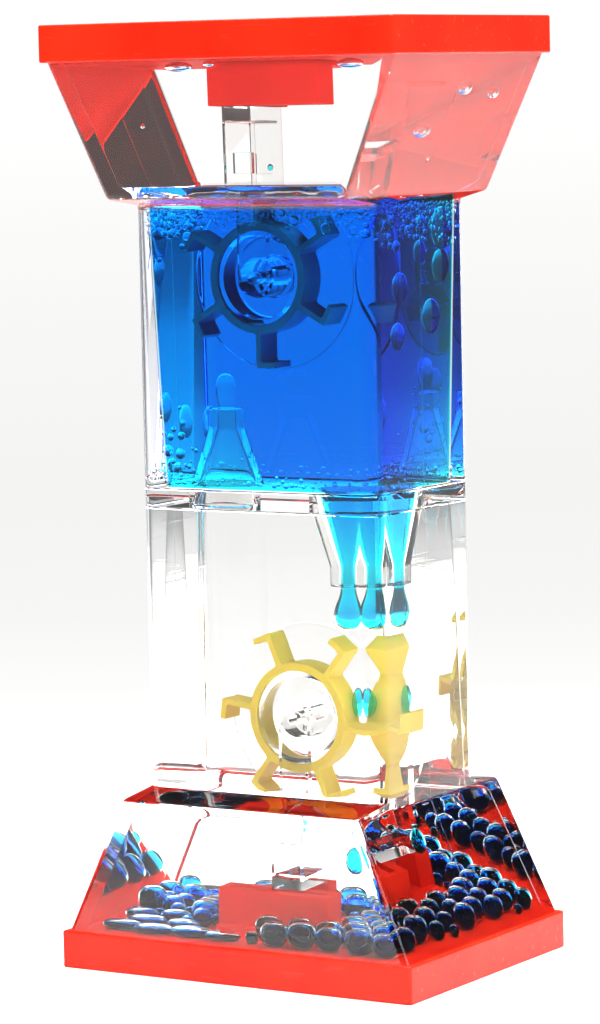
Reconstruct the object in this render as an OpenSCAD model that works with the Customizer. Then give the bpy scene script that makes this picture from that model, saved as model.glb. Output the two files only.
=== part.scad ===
// Liquid-motion timer: a clear two-chamber tank between red end caps.
// Coloured water drips through clear oil onto a paddle wheel in each chamber.
// Millimetres, +Z up, origin at the centre of the base cap's underside.
// The front of the tank faces -Y; both paddle wheels turn about the Y direction.

/* [Overall] */
// Height from the table to the top of the upper cap
total_h = 147; // [147:1:160]
// Width of the end caps (X)
cap_w = 63.4; // [62.6:0.1:66]
// Depth of the end caps (Y)
cap_d = 48.6; // [48:0.1:52]
// Thickness of each end cap
cap_t = 5.8; // [5.4:0.1:6]
// Radius on the upright corners of the caps
cap_r = 0.6; // [0.4:0.1:1.6]

/* [Tank] */
// Outside width of the square column (X)
col_w = 43.0; // [42.6:0.1:43.6]
// Outside depth of the column (Y)
col_d = 29.6; // [29:0.1:30.4]
// Wall thickness of the column's side walls (X)
col_wall = 2.4; // [2.2:0.1:2.8]
// Wall thickness of the column's front and rear walls (Y)
front_wall = 2.6; // [2.2:0.1:3.2]
// Wall thickness of the flared foot
foot_wall = 2.3; // [1.8:0.1:2.6]
// Width of the flared foot where it meets the cap
foot_w = 61.9; // [60:0.1:62.2]
// Depth of the flared foot where it meets the cap
foot_d = 47.2; // [46:0.1:47.8]
// Depth of the flared foot at its narrow end
foot_top_d = 44.0; // [42:0.1:45]
// Height of the foot's shoulder edge above the table
shoulder_z = 26.9; // [26:0.1:28]
// Height at which the sloping shoulder meets the column
neck_z = 28.1; // [28:0.1:29]
// Radius of the column's upright corners
col_r = 2.9; // [2:0.1:3.2]

/* [Divider and nozzles] */
// Thickness of the plate between the chambers
plate_t = 3.0; // [2.8:0.1:3.2]
// Distance of each nozzle from the middle of the plate
nozzle_x = 11.05; // [10.85:0.05:11.3]
// Distance of the nozzles in front of the middle (Y)
nozzle_y = -0.5; // [-1:0.1:0]
// Length of a nozzle beyond the plate
nozzle_len = 12.0; // [11:0.1:12.5]
// Outer radius of a nozzle at its tip
nozzle_tip_r = 3.05; // [2.9:0.05:3.4]
// Outer radius of a nozzle at the plate
nozzle_root_r = 6.2; // [6.1:0.1:6.5]
// Radius of the drip bore
nozzle_bore_r = 1.2; // [1:0.1:1.5]
// Inner radius of the funnel mouth
funnel_r = 5.1; // [4.8:0.1:5.3]
// Length of the straight tip
nozzle_straight = 3.2; // [2.6:0.1:4]

/* [Paddle wheels] */
// Sideways offset of each wheel axle from the middle
wheel_x = 2.95; // [2.8:0.05:3.1]
// Height of the lower wheel axle
wheel_z = 39.5; // [39:0.1:39.8]
// Outer radius of the ring that carries the paddles
ring_r = 8.6; // [8.4:0.1:9]
// Inner radius of that ring
ring_in_r = 7.3; // [7.2:0.05:7.5]
// Axial length of the ring and paddles
ring_len = 6.8; // [6:0.1:7]
// Reach of the paddles from the axle
paddle_r = 13.9; // [13:0.1:14]
// Thickness of a paddle
paddle_t = 0.9; // [0.8:0.1:1.1]
// Length of the bent lip at a paddle's tip
lip_len = 2.85; // [2:0.05:3]
// Number of paddles
paddles = 6; // [6]
// Direction of the first paddle of the lower wheel, in degrees
phase_lower = 52; // [0:1:59]
// Direction of the first paddle of the upper wheel, in degrees
phase_upper = 30; // [0:1:59]
// Radius of the clear disc behind the paddles
disc_r = 14.5; // [14.3:0.1:14.6]
// Radius of the hub's middle boss
boss_r = 3.1; // [2.6:0.1:3.6]
// Axle pin radius
axle_r = 0.9; // [0.8:0.05:1]
// Running clearance between axle and hub bore
run_gap = 0.05; // [0.02:0.01:0.1]

/* [Wheel forks] */
// Width of a fork (X)
fork_w = 5.3; // [5:0.1:5.4]
// Depth of a fork over both uprights (Y)
fork_d = 14.0; // [13.8:0.1:14.4]
// Thickness of one upright
upright_t = 1.7; // [1.5:0.1:1.75]
// Thickness of the crossbar that joins the uprights
crossbar_t = 2.2; // [2:0.1:3]
// Top of the socket blocks above the table
socket_z = 12.5; // [12:0.1:12.8]

/* [Liquids] */
// Depth of the blue water above the plate
water_h = 45.8; // [40:0.1:45.8]
// Radius of a settled drop of water
bead_r = 2.6; // [2.2:0.05:2.65]
// Height of a settled drop of water
bead_h = 3.7; // [3:0.1:3.8]
// Spacing of the settled drops
bead_pitch = 5.7; // [5.65:0.05:6.4]

/* [Hidden] */
$fn = 48;
red = [0.86, 0.06, 0.03];
clear = [0.9, 0.95, 0.97, 0.35];
yellow = [0.86, 0.74, 0.18];
blue = [0.0, 0.35, 0.95, 0.7];
oil = [0.95, 0.97, 0.95, 0.15];
mid_z = total_h / 2;
plate_lo = mid_z - plate_t / 2;
plate_hi = mid_z + plate_t / 2;
in_w = col_w - 2 * col_wall;
in_d = col_d - 2 * front_wall;
neck_in_z = neck_z - 1.9;
gap = 0.05;

// A rectangle with rounded corners, centred
module rrect(w, d, r) {
    square([w - 2 * r, d], center = true);
    square([w, d - 2 * r], center = true);
    for (sx = [-1, 1], sy = [-1, 1])
        translate([sx * (w / 2 - r), sy * (d / 2 - r)]) circle(r, $fn = 32);
}

// A thin rounded rectangle at height z, used as a loft section
module section(w, d, r, z, t = 0.02) {
    translate([0, 0, z]) linear_extrude(t) rrect(w, d, r);
}

// Puts the children in the upper chamber, mirrored about mid height
module flip_up() {
    translate([0, 0, total_h]) mirror([0, 0, 1]) children();
}

// Turns the children half a turn about Y through mid height
module turn_over() {
    translate([0, 0, total_h]) rotate([0, 180, 0]) children();
}

// ---------------------------------------------------------------- caps

// Flat end cap with upright rounded corners
module cap_plate() {
    linear_extrude(cap_t) rrect(cap_w, cap_d, cap_r);
}

module base_cap() { color(red) cap_plate(); }

// The top cap is the same plate, so that the timer also stands upside down
module top_cap() { color(red) flip_up() cap_plate(); }

// ---------------------------------------------------------------- fork sockets

// A stepped slotted block that holds the front leg of a fork, and a small
// slotted block for its rear leg, on a thin floor
module socket_blocks(step_x0, step_x1, wide_x0, wide_x1, slot_x0, slot_x1, fork_x) {
    difference() {
        union() {
            translate([step_x0, -8, cap_t])
                cube([wide_x1 - step_x0 - 0.5, 5.2, socket_z - cap_t]);
            translate([wide_x0, -9.5, cap_t])
                cube([wide_x1 - wide_x0, 6.7, socket_z - cap_t]);
            translate([fork_x - 3.3, 4.0, cap_t]) cube([6.6, 4.2, socket_z - cap_t]);
            translate([step_x0, -9.5, cap_t]) cube([wide_x1 - step_x0, 17.7, 0.9]);
        }
        translate([slot_x0, -fork_d / 2 - 0.1, 7.6])
            cube([slot_x1 - slot_x0, upright_t + 0.2, 10]);
        translate([fork_x - fork_w / 2 - 0.1, fork_d / 2 - upright_t - 0.1, 7.6])
            cube([fork_w + 0.2, upright_t + 0.2, 10]);
    }
}

module lower_fork_socket() {
    color(red) socket_blocks(-9, 1.4, 1.4, 11.3, -7.4, 10.0, wheel_x);
}

module upper_fork_socket() {
    color(red) flip_up() socket_blocks(-7.6, -4.8, -4.8, 12.9, -6.2, 9.4, -wheel_x);
}

// ---------------------------------------------------------------- tank

// Outer form of the flared foot with its sloping front and rear shoulders
module foot_outer() {
    hull() {
        section(foot_w, foot_d, 1.4, cap_t);
        section(col_w, foot_top_d, 1.2, shoulder_z);
        section(col_w, col_d, col_r, neck_z);
    }
}

// Space inside the flared foot
module foot_inner(shrink = 0) {
    s = 2 * (foot_wall + shrink);
    hull() {
        section(foot_w - s, foot_d - s, 1.0, cap_t - 0.05);
        section(in_w - 2 * shrink, foot_top_d - s, 1.0, shoulder_z - 2.2);
        section(in_w - 2 * shrink, in_d - 2 * shrink, 0.8, neck_in_z);
    }
}

// One chamber: flared foot and column, open at both ends
module chamber() {
    difference() {
        union() {
            foot_outer();
            translate([0, 0, neck_z - 2])
                linear_extrude(plate_lo - neck_z + 2) rrect(col_w, col_d, col_r);
        }
        foot_inner();
        translate([0, 0, neck_in_z - 4])
            linear_extrude(plate_lo - neck_in_z + 5) rrect(in_w, in_d, 0.8);
    }
}

module lower_tank() { color(clear) chamber(); }
module upper_tank() { color(clear) flip_up() chamber(); }

// ---------------------------------------------------------------- divider and nozzles

module divider_plate() {
    color(clear) difference() {
        translate([0, 0, plate_lo]) linear_extrude(plate_t) rrect(col_w, col_d, col_r);
        for (s = [-1, 1])
            translate([s * nozzle_x, nozzle_y, plate_lo - 1])
                cylinder(r = nozzle_root_r + 0.02, h = plate_t + 2);
    }
}

// A funnel that hangs from the plate: wide mouth flush with the plate's top,
// narrow straight tip below
module nozzle() {
    z0 = plate_lo - nozzle_len;
    z1 = z0 + nozzle_straight;
    rotate_extrude($fn = 64) polygon([
        [nozzle_bore_r, z0 + 0.2], [nozzle_bore_r + 0.3, z0],
        [nozzle_tip_r - 0.3, z0], [nozzle_tip_r, z0 + 0.3],
        [nozzle_tip_r, z1], [nozzle_root_r - 0.4, plate_lo - 0.4],
        [nozzle_root_r, plate_lo], [nozzle_root_r, plate_hi],
        [funnel_r + 0.6, plate_hi], [funnel_r, plate_hi - 0.6],
        [nozzle_bore_r, z1]]);
}

module down_nozzle() { color(clear) translate([nozzle_x, nozzle_y, 0]) nozzle(); }
module up_nozzle() { color(clear) turn_over() translate([nozzle_x, nozzle_y, 0]) nozzle(); }

// ---------------------------------------------------------------- forks and axles

// One upright of a fork in the XZ plane, with its round end and axle hole
module upright(y0) {
    translate([0, y0 + upright_t, 0]) rotate([90, 0, 0]) linear_extrude(upright_t)
        difference() {
            union() {
                translate([-fork_w / 2, socket_z]) square([fork_w, wheel_z - socket_z]);
                translate([-fork_w / 2 + 0.3, 8]) square([fork_w - 0.6, 6]);
                translate([0, wheel_z]) circle(fork_w / 2);
            }
            translate([0, wheel_z]) circle(axle_r + 0.01);
        }
}

// U-shaped fork: two uprights on a crossbar, with a spacer pad inside each
module fork() {
    upright(-fork_d / 2);
    upright(fork_d / 2 - upright_t);
    translate([-fork_w / 2, -fork_d / 2, socket_z + 0.02]) cube([fork_w, fork_d, crossbar_t]);
    translate([-1.5, -fork_d / 2 + upright_t - 0.1, 19.6]) cube([3, 1.1, 3.2]);
    translate([-1.5, fork_d / 2 - upright_t - 1.0, 19.6]) cube([3, 1.1, 3.2]);
}

module axle() {
    translate([0, fork_d / 2 - 0.1, wheel_z]) rotate([90, 0, 0])
        cylinder(r = axle_r, h = fork_d - 0.2);
}

module lower_fork() { color(clear) translate([wheel_x, 0, 0]) fork(); }
module upper_fork() { color(clear) turn_over() translate([wheel_x, 0, 0]) fork(); }
module lower_axle() { color([0.75, 0.77, 0.8]) translate([wheel_x, 0, 0]) axle(); }
module upper_axle() { color([0.75, 0.77, 0.8]) turn_over() translate([wheel_x, 0, 0]) axle(); }

// ---------------------------------------------------------------- paddle wheels

// Front and rear ends of the wheel along Y
hub_y0 = -fork_d / 2 + upright_t + 0.3;
hub_y1 = fork_d / 2 - upright_t - 0.3;
ring_y0 = hub_y0 + 0.1;
ring_y1 = ring_y0 + ring_len;

// A length of shape between two Y stations, drawn in the XZ plane
module along_y(y0, y1) {
    translate([0, y1, 0]) rotate([90, 0, 0]) linear_extrude(y1 - y0) children();
}

// Clear hub: disc behind the paddles, drum inside the ring, boss on the axle
module hub() {
    difference() {
        union() {
            along_y(ring_y1 + 0.02, ring_y1 + 1.02) circle(disc_r, $fn = 96);
            along_y(ring_y0 + 0.7, ring_y1 + 0.1) circle(ring_in_r - 0.02, $fn = 64);
            along_y(hub_y0, hub_y1) circle(boss_r);
        }
        along_y(ring_y0 - 1, ring_y1 - 0.3) difference() {
            circle(ring_in_r - 0.9);
            circle(boss_r);
        }
        along_y(-20, 20) circle(axle_r + run_gap);
    }
}

// Yellow ring with bent-tip paddles
module paddle_ring(phase) {
    along_y(ring_y0, ring_y1) difference() {
        union() {
            circle(ring_r, $fn = 64);
            for (i = [0 : paddles - 1]) rotate(phase + i * 360 / paddles) {
                translate([ring_r - 0.5, -paddle_t / 2]) square([paddle_r - ring_r + 0.5, paddle_t]);
                translate([paddle_r - paddle_t, -paddle_t / 2]) square([paddle_t, lip_len]);
            }
        }
        circle(ring_in_r, $fn = 64);
    }
}

module at_lower_axle() { translate([wheel_x, 0, wheel_z]) children(); }
module at_upper_axle() { translate([-wheel_x, 0, total_h - wheel_z]) children(); }

module lower_wheel_hub() { color(clear) at_lower_axle() hub(); }
module upper_wheel_hub() { color(clear) at_upper_axle() hub(); }
module lower_paddle_ring() { color(yellow) at_lower_axle() paddle_ring(phase_lower); }
module upper_paddle_ring() { color(yellow) at_upper_axle() paddle_ring(phase_upper); }

// ---------------------------------------------------------------- liquids

// Space swept by a wheel
module wheel_pocket() {
    along_y(hub_y0 - 0.2, hub_y1 + 0.2) circle(disc_r + 0.4, $fn = 96);
}

// Space taken by a fork, a little larger than the fork
module fork_room() {
    translate([-fork_w / 2 - gap, -fork_d / 2 - gap, 6])
        cube([fork_w + 2 * gap, fork_d + 2 * gap, wheel_z - 6]);
    along_y(-fork_d / 2 - gap, fork_d / 2 + gap) translate([0, wheel_z]) circle(fork_w / 2 + gap);
}

// Space taken by a nozzle and the stream in it
module nozzle_room() {
    z0 = plate_lo - nozzle_len - 0.1;
    translate([0, 0, z0]) cylinder(r = nozzle_root_r + gap, h = plate_lo - z0 + 1);
}

// Blue water that fills the upper column
module upper_blue_water() {
    color(blue) difference() {
        translate([0, 0, plate_hi + gap])
            linear_extrude(water_h) rrect(in_w - 2 * gap, in_d - 2 * gap, 0.8);
        turn_over() translate([nozzle_x, nozzle_y, 0]) {
            nozzle_room();
            translate([0, 0, plate_lo - nozzle_len - 5.9]) cylinder(r = 2.2, h = 8);
        }
        at_upper_axle() wheel_pocket();
        turn_over() translate([wheel_x, 0, 0]) fork_room();
    }
}

// Water in the funnel and the drop that hangs from its tip
module nozzle_water() {
    z0 = plate_lo - nozzle_len;
    z1 = z0 + nozzle_straight;
    r = nozzle_bore_r - 0.02;
    color(blue) translate([nozzle_x, nozzle_y, 0]) rotate_extrude($fn = 48) polygon([
        [0, z0 - 6.7], [1.1, z0 - 6.4], [1.9, z0 - 5.6], [2.3, z0 - 4.4], [2.1, z0 - 3.2],
        [1.5, z0 - 1.9], [1.2, z0 - 1.0], [1.1, z0 - 0.1],
        [r, z0 + 0.3], [r, z1], [funnel_r - 0.04, plate_hi - 0.62],
        [funnel_r - 0.04, plate_hi - 0.05], [0, plate_hi - 0.05]]);
}

// Oil in the upper funnel and the drop that rises from its tip
module rising_oil_drop() {
    z0 = plate_lo - nozzle_len;
    z1 = z0 + nozzle_straight;
    r = nozzle_bore_r - 0.02;
    color(oil) turn_over() translate([nozzle_x, nozzle_y, 0]) rotate_extrude($fn = 48) polygon([
        [0, z0 - 5.4], [0.9, z0 - 5.1], [1.5, z0 - 4.3], [1.7, z0 - 3.2], [1.6, z0 - 1.8],
        [1.3, z0 - 0.8], [1.1, z0 - 0.1],
        [r, z0 + 0.3], [r, z1], [funnel_r - 0.04, plate_hi - 0.62],
        [funnel_r - 0.04, plate_hi - 0.05], [0, plate_hi - 0.05]]);
}

// Height of the oil's underside above the settled drops
oil_lo = cap_t + bead_h + 0.4;

module lower_clear_oil() {
    color(oil) difference() {
        union() {
            intersection() {
                foot_inner(gap);
                translate([-50, -50, oil_lo]) cube([100, 100, 40]);
            }
            translate([0, 0, neck_in_z - 2]) linear_extrude(plate_lo - gap - neck_in_z + 2)
                rrect(in_w - 2 * gap, in_d - 2 * gap, 0.8);
        }
        at_lower_axle() wheel_pocket();
        translate([wheel_x, 0, 0]) fork_room();
        translate([nozzle_x, nozzle_y, 0]) {
            nozzle_room();
            translate([0, 0, plate_lo - nozzle_len - 6.8]) cylinder(r = 2.5, h = 8);
        }
        translate([-9.1, -9.6, 0]) cube([20.5, 17.9, socket_z + 0.1]);
        falling_room();
    }
}

module upper_clear_oil() {
    color(oil) flip_up() difference() {
        intersection() {
            foot_inner(gap);
            translate([-50, -50, cap_t + gap])
                cube([100, 100, total_h - plate_hi - gap - water_h - cap_t - 2 * gap]);
        }
        translate([-wheel_x, 0, 0]) fork_room();
        translate([-wheel_x, 0, wheel_z]) wheel_pocket();
        translate([-7.7, -9.6, 0]) cube([20.7, 17.9, socket_z + 0.1]);
    }
}

// A drop caught between two paddles of the lower wheel
module paddle_water_drop() {
    color(blue) translate([12.5, -0.75, 42]) hull() {
        for (s = [-1, 1]) {
            translate([0, 0, s * 1.3]) sphere(r = 0.95, $fn = 20);
            translate([0, s * 1.4, 0]) sphere(r = 0.95, $fn = 20);
        }
    }
}

// A drop falling past the wheel into the foot
module falling_water_drop() {
    color(blue) translate([12.5, 0.9, 17]) sphere(r = 1.75, $fn = 32);
}
module falling_room() { translate([12.5, 0.9, 17]) sphere(r = 1.85, $fn = 32); }

// One settled drop: a flattened bead with a round rim
module bead(r, h) {
    rotate_extrude($fn = 24) {
        intersection() {
            translate([r - h / 2, h / 2]) circle(h / 2, $fn = 24);
            translate([0, 0]) square([r + 1, h]);
        }
        square([r - h / 2, h]);
    }
}

floor_w = foot_w - 2 * foot_wall;
floor_d = foot_d - 2 * foot_wall;
// A place on the floor is free if it is clear of the walls and the socket
function free_place(x, y) =
    abs(x) < floor_w / 2 - bead_r - 1.2 && abs(y) < floor_d / 2 - bead_r - 0.3
    && !(x > -9.3 - bead_r && x < 12.9 + bead_r && y > -9.8 - bead_r && y < 8.5 + bead_r);

module settled_water_drops() {
    color(blue)
        for (i = [-4 : 4], j = [-6 : 6]) {
            x = j * bead_pitch + (abs(i) % 2) * bead_pitch / 2;
            y = i * bead_pitch * 0.868;
            if (free_place(x, y))
                translate([x, y, cap_t + 0.03])
                    bead(bead_r * (0.93 + 0.06 * sin(97 * i + 61 * j)),
                         bead_h * (0.9 + 0.08 * sin(53 * i - 71 * j)));
        }
}

base_cap();
top_cap();
lower_fork_socket();
upper_fork_socket();
lower_tank();
upper_tank();
divider_plate();
down_nozzle();
up_nozzle();
lower_fork();
upper_fork();
lower_axle();
upper_axle();
lower_wheel_hub();
upper_wheel_hub();
lower_paddle_ring();
upper_paddle_ring();
upper_blue_water();
nozzle_water();
lower_clear_oil();
upper_clear_oil();
rising_oil_drop();
paddle_water_drop();
falling_water_drop();
settled_water_drops();
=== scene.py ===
import math

import bmesh
import bpy
from mathutils import Matrix, Vector, noise

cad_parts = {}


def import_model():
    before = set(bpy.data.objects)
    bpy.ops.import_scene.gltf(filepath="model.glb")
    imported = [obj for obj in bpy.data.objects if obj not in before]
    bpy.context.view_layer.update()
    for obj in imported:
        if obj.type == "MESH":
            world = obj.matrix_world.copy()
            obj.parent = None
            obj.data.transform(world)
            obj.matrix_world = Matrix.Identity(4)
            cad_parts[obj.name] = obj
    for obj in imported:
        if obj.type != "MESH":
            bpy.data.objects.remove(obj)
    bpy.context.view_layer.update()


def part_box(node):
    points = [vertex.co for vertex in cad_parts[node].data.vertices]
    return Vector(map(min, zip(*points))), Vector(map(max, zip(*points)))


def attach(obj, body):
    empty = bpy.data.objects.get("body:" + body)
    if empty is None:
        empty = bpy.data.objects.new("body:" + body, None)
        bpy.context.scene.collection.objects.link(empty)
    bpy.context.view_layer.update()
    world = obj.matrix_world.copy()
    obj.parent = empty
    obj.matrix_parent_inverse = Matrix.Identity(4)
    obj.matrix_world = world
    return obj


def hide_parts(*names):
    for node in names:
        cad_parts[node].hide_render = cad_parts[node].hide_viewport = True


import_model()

scene = bpy.context.scene
MM = 0.001
H = 147.0

# Key places, in millimetres, read from the frame
WX = 2.6                     # wheel axle offset
WZ = 39.5                    # lower axle height
PLO, PHI = 72.0, 75.0        # divider plate
NX, NY = 11.05, -0.5         # nozzle offset
CAP_T = 5.8
TANK, LOWER, UPPER = "tank", "lower_wheel", "upper_wheel"


def bx(node):
    lo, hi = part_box(node)
    return [c / MM for c in lo], [c / MM for c in hi]


cap_lo, cap_hi = bx("base_cap")
CAP_W, CAP_D, CAP_T = cap_hi[0] - cap_lo[0], cap_hi[1] - cap_lo[1], cap_hi[2]
plate_lo, plate_hi = bx("divider_plate")
PLO, PHI = plate_lo[2], plate_hi[2]
COL_W, COL_D = plate_hi[0] - plate_lo[0], plate_hi[1] - plate_lo[1]
hub_lo, hub_hi = bx("lower_wheel_hub")
WX, WZ = (hub_lo[0] + hub_hi[0]) / 2, (hub_lo[2] + hub_hi[2]) / 2
noz_lo, noz_hi = bx("down_nozzle")
NX, NY = (noz_lo[0] + noz_hi[0]) / 2, (noz_lo[1] + noz_hi[1]) / 2
RO = (noz_hi[0] - noz_lo[0]) / 2          # nozzle root radius
RT, RB, RF = 3.05, 1.36, 5.1              # tip, bore and funnel mouth
H = bx("top_cap")[1][2]


# ------------------------------------------------------------------ small tools

class Dice:
    """A fixed sequence of numbers between 0 and 1."""

    def __init__(self, seed):
        self.s = seed

    def __call__(self, lo=0.0, hi=1.0):
        self.s = (self.s * 1103515245 + 12345) % 2147483648
        return lo + (hi - lo) * (self.s / 2147483648)


def turn_over(p):
    """Half a turn about Y through mid height."""
    return (-p[0], p[1], H - p[2])


def mesh_object(name, verts, faces, mats, index=None, body=TANK,
                replaces=(), angle=32, weighted=True, smooth=True, recalc=True):
    """A mesh from millimetre points, with outward normals, riding on a body."""
    me = bpy.data.meshes.new(name)
    me.from_pydata([(x * MM, y * MM, z * MM) for x, y, z in verts], [], faces)
    for m in mats:
        me.materials.append(m)
    if index is not None:
        for f, i in zip(me.polygons, index):
            f.material_index = i
    bm = bmesh.new()
    bm.from_mesh(me)
    bmesh.ops.remove_doubles(bm, verts=bm.verts, dist=2e-6)
    if recalc:
        bmesh.ops.recalc_face_normals(bm, faces=bm.faces)
    bm.to_mesh(me)
    bm.free()
    return finish_object(name, me, body, replaces, angle, weighted, smooth)


def finish_object(name, me, body, replaces, angle=32, weighted=True, smooth=True):
    ob = bpy.data.objects.new(name, me)
    scene.collection.objects.link(ob)
    if smooth:
        me.shade_smooth()
        me.set_sharp_from_angle(angle=math.radians(angle))
        if weighted:
            mod = ob.modifiers.new("weights", "WEIGHTED_NORMAL")
            mod.weight = 80
            mod.keep_sharp = True
    if body:
        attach(ob, body)
    if replaces:
        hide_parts(*replaces)
    return ob


def rr(w, d, r, n=12, ridge=0.0, half=0.16):
    """Points of a rounded rectangle, anticlockwise, with three points on the middle of each side face."""
    pts = [(w / 2, -half), (w / 2 + ridge, 0.0), (w / 2, half)]

    def arc(cx, cy, a0):
        return [(cx + r * math.cos(math.radians(a0 + 90 * i / n)),
                 cy + r * math.sin(math.radians(a0 + 90 * i / n))) for i in range(n + 1)]
    pts += arc(w / 2 - r, d / 2 - r, 0)
    pts += arc(-w / 2 + r, d / 2 - r, 90)
    pts += [(-w / 2, half), (-w / 2 - ridge, 0.0), (-w / 2, -half)]
    pts += arc(-w / 2 + r, -d / 2 + r, 180)
    pts += arc(w / 2 - r, -d / 2 + r, 270)
    return pts


def ring_loft(rings, close=False, strip_mats=None, start_cap=None, end_cap=None):
    """Faces between rings of equal length. Each ring is a list of (x, y, z)."""
    n = len(rings[0])
    verts = [p for r in rings for p in r]
    faces, index = [], []
    last = len(rings) if close else len(rings) - 1
    for k in range(last):
        a, b = k * n, ((k + 1) % len(rings)) * n
        for i in range(n):
            j = (i + 1) % n
            faces.append((a + i, a + j, b + j, b + i))
            index.append(strip_mats[k] if strip_mats else 0)
    if start_cap is not None:
        faces.append(tuple(reversed(range(n))))
        index.append(start_cap)
    if end_cap is not None:
        faces.append(tuple((len(rings) - 1) * n + i for i in range(n)))
        index.append(end_cap)
    return verts, faces, index


def lathe(profile, seg=72, axis="z", centre=(0, 0, 0), closed=False, jitter=None):
    """Turns a (radius, height) profile. A point at radius 0 closes that end."""
    verts, faces = [], []
    rows = []
    for r, h in profile:
        row = []
        if r < 1e-6:
            row = [len(verts)] * seg
            verts.append(place(0, 0, h, axis, centre))
        else:
            for i in range(seg):
                a = 2 * math.pi * i / seg
                k = 1.0 if jitter is None else jitter(a, h)
                row.append(len(verts))
                verts.append(place(r * k * math.cos(a), r * k * math.sin(a), h, axis, centre))
        rows.append(row)
    n = len(rows)
    for k in range(n if closed else n - 1):
        a, b = rows[k], rows[(k + 1) % n]
        for i in range(seg):
            j = (i + 1) % seg
            f = [a[i], a[j], b[j], b[i]]
            f = [v for m, v in enumerate(f) if v not in f[:m]]
            if len(f) > 2:
                faces.append(tuple(f))
    return verts, faces


def place(u, v, h, axis, c):
    if axis == "z":
        return (c[0] + u, c[1] + v, c[2] + h)
    return (c[0] + u, c[1] + h, c[2] + v)          # axis "y"


def outline_solid(loops, half, bevel, res=3, to=None):
    """A plate from closed 2-D loops, with rounded edges. Gives (verts, faces) in millimetres."""
    cu = bpy.data.curves.new("outline", "CURVE")
    cu.dimensions = "2D"
    cu.fill_mode = "BOTH"
    cu.extrude = (half - bevel) * MM
    cu.bevel_depth = bevel * MM
    cu.bevel_resolution = res
    cu.offset = -bevel * MM
    for loop in loops:
        sp = cu.splines.new("POLY")
        sp.points.add(len(loop) - 1)
        for p, (x, y) in zip(sp.points, loop):
            p.co = (x * MM, y * MM, 0, 1)
        sp.use_cyclic_u = True
    ob = bpy.data.objects.new("outline", cu)
    scene.collection.objects.link(ob)
    dg = bpy.context.evaluated_depsgraph_get()
    me = bpy.data.meshes.new_from_object(ob.evaluated_get(dg))
    bm = bmesh.new()
    bm.from_mesh(me)
    bmesh.ops.remove_doubles(bm, verts=bm.verts, dist=2e-6)
    bmesh.ops.recalc_face_normals(bm, faces=bm.faces)
    bm.verts.index_update()
    verts = [tuple(c / MM for c in v.co) for v in bm.verts]
    faces = [tuple(v.index for v in f.verts) for f in bm.faces]
    bm.free()
    bpy.data.objects.remove(ob)
    bpy.data.curves.remove(cu)
    bpy.data.meshes.remove(me)
    if to:
        verts = [to(p) for p in verts]
    return verts, faces


def joined(parts):
    verts, faces = [], []
    for v, f in parts:
        k = len(verts)
        verts += list(v)
        faces += [tuple(i + k for i in q) for q in f]
    return verts, faces


def circle(r, n=72, c=(0, 0)):
    return [(c[0] + r * math.cos(2 * math.pi * i / n), c[1] + r * math.sin(2 * math.pi * i / n))
            for i in range(n)]


def boolean(ob, cutter, how):
    """Cuts or joins ob with cutter and keeps the result as plain mesh."""
    mods = list(ob.modifiers)
    for m in mods:
        ob.modifiers.remove(m)
    b = ob.modifiers.new("b", "BOOLEAN")
    b.operation = how
    b.solver = "EXACT"
    b.object = cutter
    b.material_mode = "TRANSFER"
    dg = bpy.context.evaluated_depsgraph_get()
    me = bpy.data.meshes.new_from_object(ob.evaluated_get(dg))
    ob.modifiers.remove(b)
    old = ob.data
    ob.data = me
    bpy.data.meshes.remove(old)
    bpy.data.objects.remove(cutter)
    return ob


def scratch_object(verts, faces, mats=()):
    me = bpy.data.meshes.new("cut")
    me.from_pydata([(x * MM, y * MM, z * MM) for x, y, z in verts], [], faces)
    for m in mats:
        me.materials.append(m)
    bm = bmesh.new()
    bm.from_mesh(me)
    bmesh.ops.remove_doubles(bm, verts=bm.verts, dist=2e-6)
    bmesh.ops.recalc_face_normals(bm, faces=bm.faces)
    bm.to_mesh(me)
    bm.free()
    ob = bpy.data.objects.new("cut", me)
    scene.collection.objects.link(ob)
    return ob


def smooth_again(ob, angle=32):
    ob.data.shade_smooth()
    ob.data.set_sharp_from_angle(angle=math.radians(angle))
    mod = ob.modifiers.new("weights", "WEIGHTED_NORMAL")
    mod.weight = 80
    mod.keep_sharp = True


# ------------------------------------------------------------------ materials

def material(name):
    m = bpy.data.materials.new(name)
    m.use_nodes = True
    nt = m.node_tree
    nt.nodes.clear()
    out = nt.nodes.new("ShaderNodeOutputMaterial")
    return m, nt, out


def add(nt, kind, **sockets):
    n = nt.nodes.new(kind)
    for k, v in sockets.items():
        n.inputs[k.replace("_", " ")].default_value = v
    return n


def coords(nt, scale=(1, 1, 1)):
    tc = nt.nodes.new("ShaderNodeTexCoord")
    mp = nt.nodes.new("ShaderNodeMapping")
    mp.inputs["Scale"].default_value = scale
    nt.links.new(tc.outputs["Object"], mp.inputs["Vector"])
    return mp.outputs["Vector"]


def noise_node(nt, scale, detail=3.0, stretch=(1, 1, 1), rough=0.55):
    n = add(nt, "ShaderNodeTexNoise", Scale=scale, Detail=detail, Roughness=rough)
    nt.links.new(coords(nt, stretch), n.inputs["Vector"])
    return n


def spread(nt, src, lo, hi, a=0.0, b=1.0):
    n = nt.nodes.new("ShaderNodeMapRange")
    n.inputs["From Min"].default_value = a
    n.inputs["From Max"].default_value = b
    n.inputs["To Min"].default_value = lo
    n.inputs["To Max"].default_value = hi
    nt.links.new(src, n.inputs["Value"])
    return n.outputs["Result"]


def bump(nt, height, strength, distance, normal=None):
    b = add(nt, "ShaderNodeBump", Strength=strength, Distance=distance)
    nt.links.new(height, b.inputs["Height"])
    if normal is not None:
        nt.links.new(normal, b.inputs["Normal"])
    return b.outputs["Normal"]


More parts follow.
